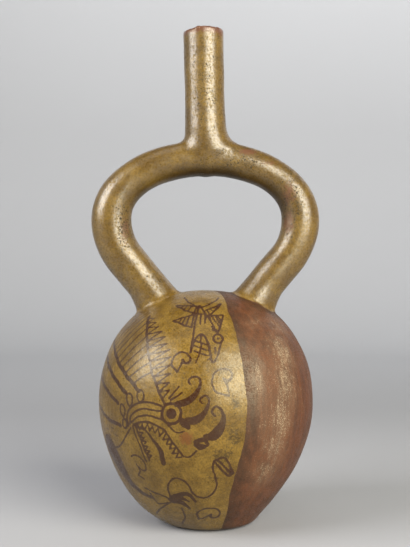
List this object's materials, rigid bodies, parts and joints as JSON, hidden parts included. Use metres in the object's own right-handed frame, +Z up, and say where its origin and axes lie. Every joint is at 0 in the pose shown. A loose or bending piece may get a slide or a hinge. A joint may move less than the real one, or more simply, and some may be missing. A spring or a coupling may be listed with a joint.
{
  "type": "stirrup spout bottle",
  "caption": "Hollow egg-shaped clay bottle on a small flat base, with a looped two-branch tube handle over the top that carries one straight open spout.",
  "frame": {"origin": "middle of the bottle in plan, on the plane of the flat underside", "axes": "+Z up through the spout, which is the longest extent; X across the two branches of the stirrup; -Y is the painted front"},
  "size_m": [0.1304, 0.122, 0.2799],
  "materials": {
    "vessel": "burnished cream and red slip"
  },
  "bodies": {
    "root": {"vessel": "vessel"}
  },
  "joints": []
}
